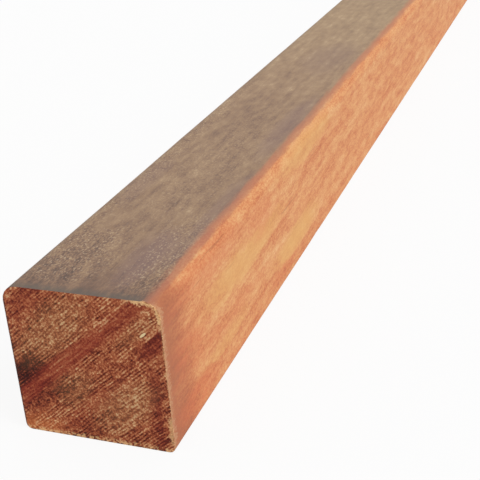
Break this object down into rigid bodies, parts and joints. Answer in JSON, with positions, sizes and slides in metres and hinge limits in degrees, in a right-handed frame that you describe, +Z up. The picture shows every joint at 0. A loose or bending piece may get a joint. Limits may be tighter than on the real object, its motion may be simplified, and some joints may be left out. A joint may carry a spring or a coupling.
{
  "type": "hardwood post",
  "caption": "Square planed hardwood post with eased long edges and square-sawn ends, for fences, decks and garden frames.",
  "frame": {"origin": "middle of the underside, halfway along the post", "axes": "+X across the section, +Y along the grain, away from the sawn end that faces the viewer at azimuth 0, +Z up from the underside"},
  "size_m": [0.065, 1.8, 0.065],
  "materials": {
    "hardwood": "matte"
  },
  "bodies": {
    "root": {"post": "hardwood"}
  },
  "joints": []
}
